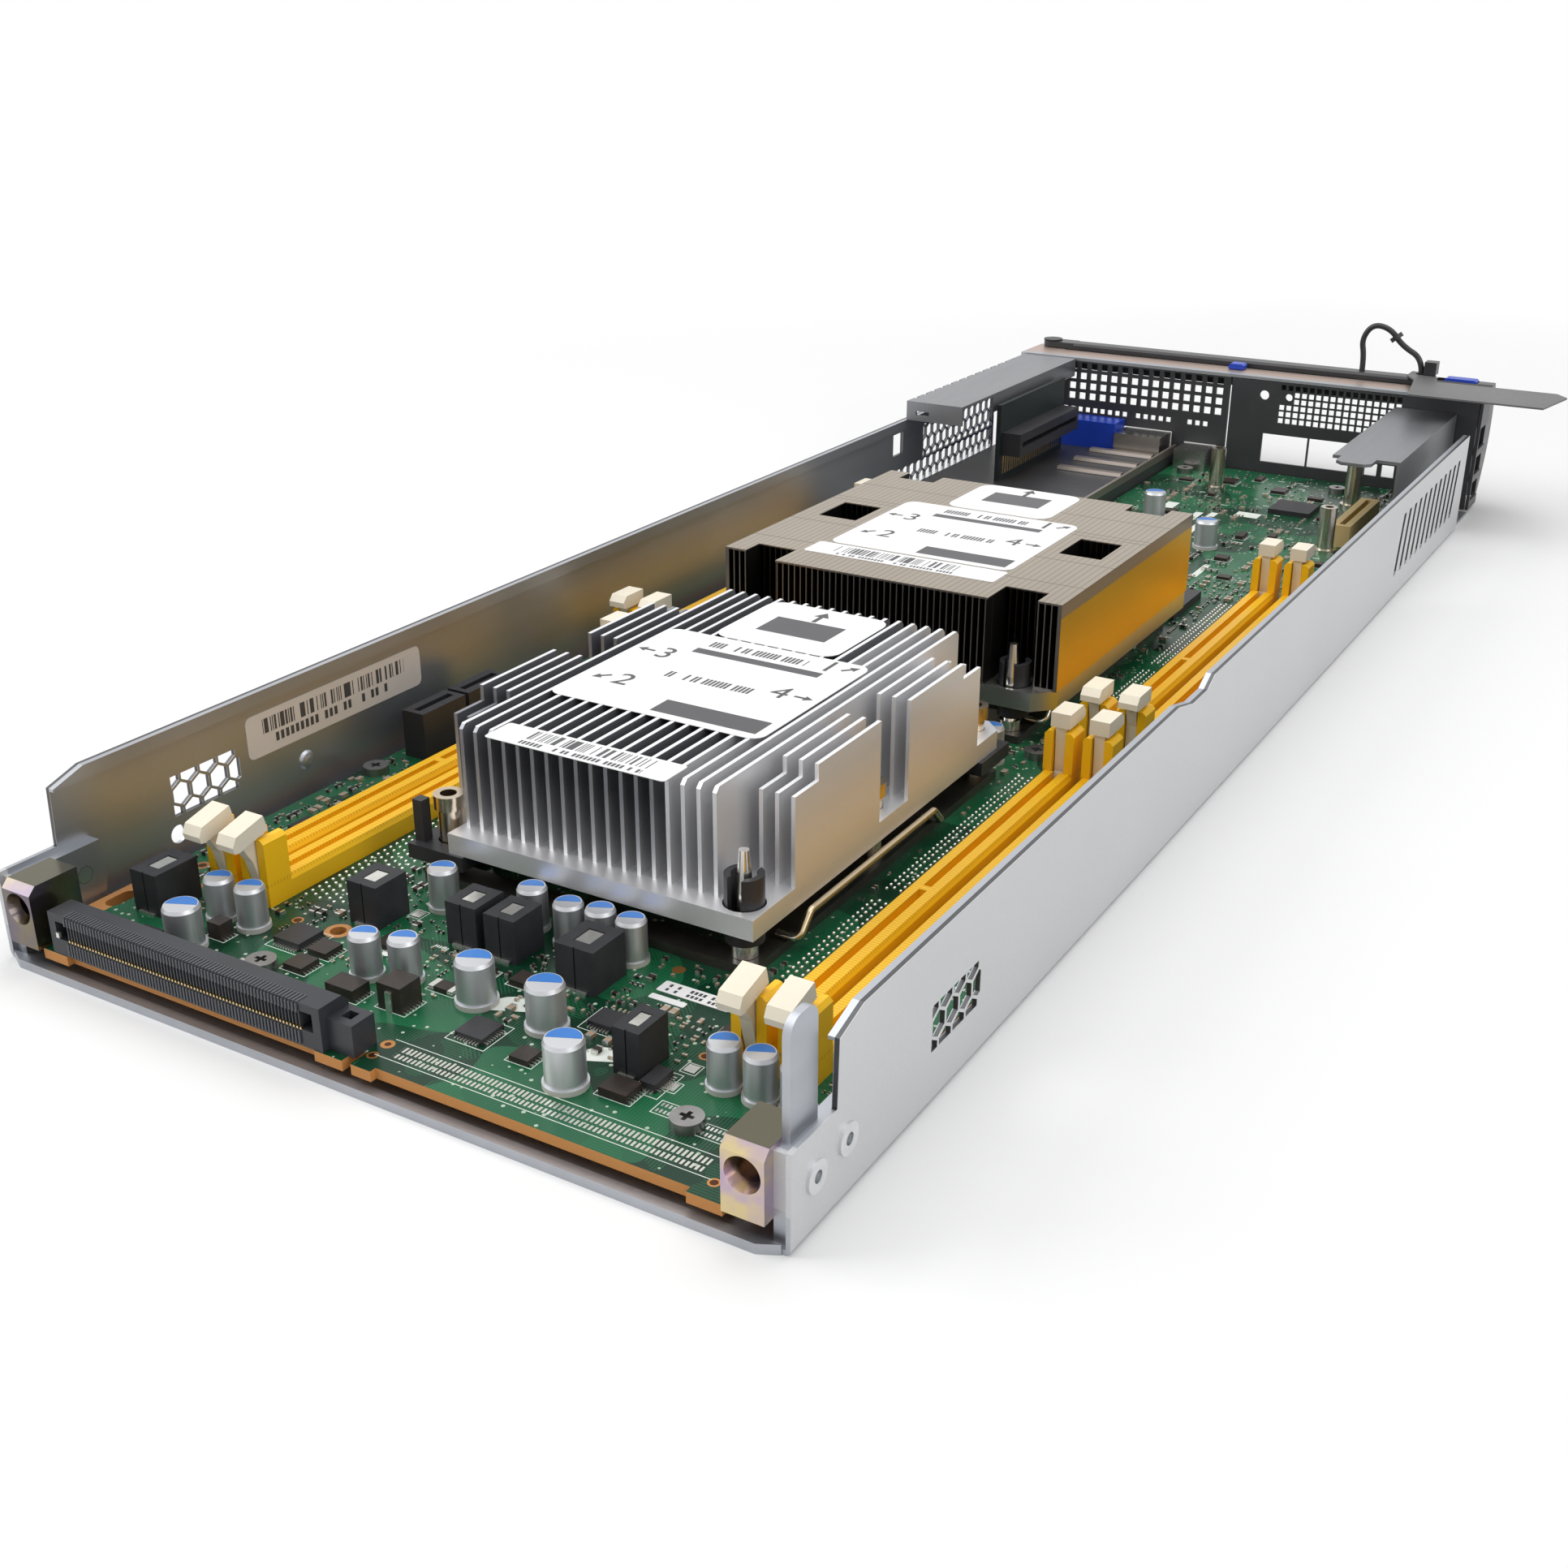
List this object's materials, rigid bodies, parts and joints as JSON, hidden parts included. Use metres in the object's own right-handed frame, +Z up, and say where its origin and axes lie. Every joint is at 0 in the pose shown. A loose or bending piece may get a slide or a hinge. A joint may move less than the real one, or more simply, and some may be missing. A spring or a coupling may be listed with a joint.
{
  "type": "multi node server sled",
  "caption": "Half-width server sled: folded tray with a two-processor board, finned heatsinks, memory sockets with swinging latches, perforated port panel and swing-out ejector lever.",
  "frame": {"origin": "middle of the tray's underside, half way along the sled, the tag and its tie left out", "axes": "+X across the sled to the release tab's side, +Y along it from the docking end to the port end, +Z up"},
  "size_m": [0.1998, 0.4938, 0.0598],
  "materials": {
    "zinc_sheet": "plain zinc-coated sheet",
    "plated_block": "passivated zinc with a faint rainbow",
    "board_green": "solder mask",
    "screw_steel": "nickel plate",
    "connector_black": "moulded",
    "socket_ivory": "moulded",
    "nickel_lid": "nickel plate",
    "frame_steel": "black oxide",
    "nut_bronze": "plain",
    "fin_aluminium": "extruded",
    "fin_pack": "folded sheet",
    "socket_yellow": "moulded",
    "latch_ivory": "moulded",
    "can_aluminium": "polymer can",
    "panel_black": "satin",
    "blue_plastic": "moulded",
    "cage_steel": "stamped",
    "tie_nylon": "moulded",
    "tag_film": "sheet"
  },
  "bodies": {
    "sled": {"tray": "zinc_sheet", "block_brackets": "zinc_sheet", "wing_bracket": "zinc_sheet", "riser_cage": "zinc_sheet", "guide_block_left": "plated_block", "guide_block_right": "plated_block", "rivets": "plated_block", "main_board": "board_green", "riser_card": "board_green", "board_screws": "screw_steel", "card_standoffs": "screw_steel", "lever_pivot": "screw_steel", "docking_connector": "connector_black", "edge_sockets": "connector_black", "riser_slot": "connector_black", "near_carrier": "connector_black", "far_carrier": "connector_black", "chips": "connector_black", "chokes": "connector_black", "processor_sockets": "socket_ivory", "mezzanine_connector": "socket_ivory", "processors": "nickel_lid", "far_heatsink_base": "nickel_lid", "near_frame": "frame_steel", "far_frame": "frame_steel", "captive_nuts": "nut_bronze", "near_heatsink": "fin_aluminium", "far_heatsink_fins": "fin_pack", "memory_bank_a": "socket_yellow", "memory_bank_b": "socket_yellow", "memory_bank_c": "socket_yellow", "memory_bank_d": "socket_yellow", "capacitors": "can_aluminium", "port_panel": "panel_black", "card_panel": "panel_black", "riser_shelf": "panel_black", "video_port": "blue_plastic", "port_cages": "cage_steel"},
    "lever": {"ejector_lever": "panel_black", "tag_tie": "tie_nylon", "tie_beads": "tie_nylon", "tag": "tag_film"},
    "release_tab": {"release_tab": "blue_plastic"},
    "panel_catch": {"panel_catch": "blue_plastic"},
    "latch_a1_near": {"latch_a1_near": "latch_ivory"},
    "latch_a1_far": {"latch_a1_far": "latch_ivory"},
    "latch_a2_near": {"latch_a2_near": "latch_ivory"},
    "latch_a2_far": {"latch_a2_far": "latch_ivory"},
    "latch_b1_near": {"latch_b1_near": "latch_ivory"},
    "latch_b1_far": {"latch_b1_far": "latch_ivory"},
    "latch_b2_near": {"latch_b2_near": "latch_ivory"},
    "latch_b2_far": {"latch_b2_far": "latch_ivory"},
    "latch_c1_near": {"latch_c1_near": "latch_ivory"},
    "latch_c1_far": {"latch_c1_far": "latch_ivory"},
    "latch_c2_near": {"latch_c2_near": "latch_ivory"},
    "latch_c2_far": {"latch_c2_far": "latch_ivory"},
    "latch_d1_near": {"latch_d1_near": "latch_ivory"},
    "latch_d1_far": {"latch_d1_far": "latch_ivory"},
    "latch_d2_near": {"latch_d2_near": "latch_ivory"},
    "latch_d2_far": {"latch_d2_far": "latch_ivory"}
  },
  "joints": [
    {"name": "lever_swing", "type": "hinge", "parent": "sled", "child": "lever", "pos_m": [-0.0805, 0.24064, 0.041], "axis": [0, 0, 1], "range_deg": [0, 60]},
    {"name": "release_slide", "type": "slide", "parent": "lever", "child": "release_tab", "axis": [-1, 0, 0], "range_m": [0, 0.0025], "stiffness_N_per_m": 200, "springref_m": -0.001},
    {"name": "catch_slide", "type": "slide", "parent": "sled", "child": "panel_catch", "axis": [-1, 0, 0], "range_m": [0, 0.003]},
    {"name": "latch_a1_near_swing", "type": "hinge", "parent": "sled", "child": "latch_a1_near", "pos_m": [0.0688, -0.20921, 0.0086], "axis": [1, 0, 0], "range_deg": [-14, 0]},
    {"name": "latch_a1_far_swing", "type": "hinge", "parent": "sled", "child": "latch_a1_far", "pos_m": [0.0688, -0.07911, 0.0086], "axis": [-1, 0, 0], "range_deg": [0, 14]},
    {"name": "latch_a2_near_swing", "type": "hinge", "parent": "sled", "child": "latch_a2_near", "pos_m": [0.0597, -0.20921, 0.0086], "axis": [1, 0, 0], "range_deg": [-14, 0]},
    {"name": "latch_a2_far_swing", "type": "hinge", "parent": "sled", "child": "latch_a2_far", "pos_m": [0.0597, -0.07911, 0.0086], "axis": [-1, 0, 0], "range_deg": [0, 14]},
    {"name": "latch_b1_near_swing", "type": "hinge", "parent": "sled", "child": "latch_b1_near", "pos_m": [0.0688, -0.05891, 0.0086], "axis": [1, 0, 0], "range_deg": [0, 14]},
    {"name": "latch_b1_far_swing", "type": "hinge", "parent": "sled", "child": "latch_b1_far", "pos_m": [0.0688, 0.07119, 0.0086], "axis": [-1, 0, 0], "range_deg": [0, 14]},
    {"name": "latch_b2_near_swing", "type": "hinge", "parent": "sled", "child": "latch_b2_near", "pos_m": [0.0597, -0.05891, 0.0086], "axis": [1, 0, 0], "range_deg": [0, 14]},
    {"name": "latch_b2_far_swing", "type": "hinge", "parent": "sled", "child": "latch_b2_far", "pos_m": [0.0597, 0.07119, 0.0086], "axis": [-1, 0, 0], "range_deg": [0, 14]},
    {"name": "latch_c1_near_swing", "type": "hinge", "parent": "sled", "child": "latch_c1_near", "pos_m": [-0.054, -0.20921, 0.0086], "axis": [1, 0, 0], "range_deg": [-14, 0]},
    {"name": "latch_c1_far_swing", "type": "hinge", "parent": "sled", "child": "latch_c1_far", "pos_m": [-0.054, -0.07911, 0.0086], "axis": [-1, 0, 0], "range_deg": [0, 14]},
    {"name": "latch_c2_near_swing", "type": "hinge", "parent": "sled", "child": "latch_c2_near", "pos_m": [-0.0631, -0.20921, 0.0086], "axis": [1, 0, 0], "range_deg": [-14, 0]},
    {"name": "latch_c2_far_swing", "type": "hinge", "parent": "sled", "child": "latch_c2_far", "pos_m": [-0.0631, -0.07911, 0.0086], "axis": [-1, 0, 0], "range_deg": [0, 14]},
    {"name": "latch_d1_near_swing", "type": "hinge", "parent": "sled", "child": "latch_d1_near", "pos_m": [-0.0634, -0.05891, 0.0086], "axis": [1, 0, 0], "range_deg": [0, 14]},
    {"name": "latch_d1_far_swing", "type": "hinge", "parent": "sled", "child": "latch_d1_far", "pos_m": [-0.0634, 0.07119, 0.0086], "axis": [-1, 0, 0], "range_deg": [0, 14]},
    {"name": "latch_d2_near_swing", "type": "hinge", "parent": "sled", "child": "latch_d2_near", "pos_m": [-0.0725, -0.05891, 0.0086], "axis": [1, 0, 0], "range_deg": [0, 14]},
    {"name": "latch_d2_far_swing", "type": "hinge", "parent": "sled", "child": "latch_d2_far", "pos_m": [-0.0725, 0.07119, 0.0086], "axis": [-1, 0, 0], "range_deg": [0, 14]}
  ]
}
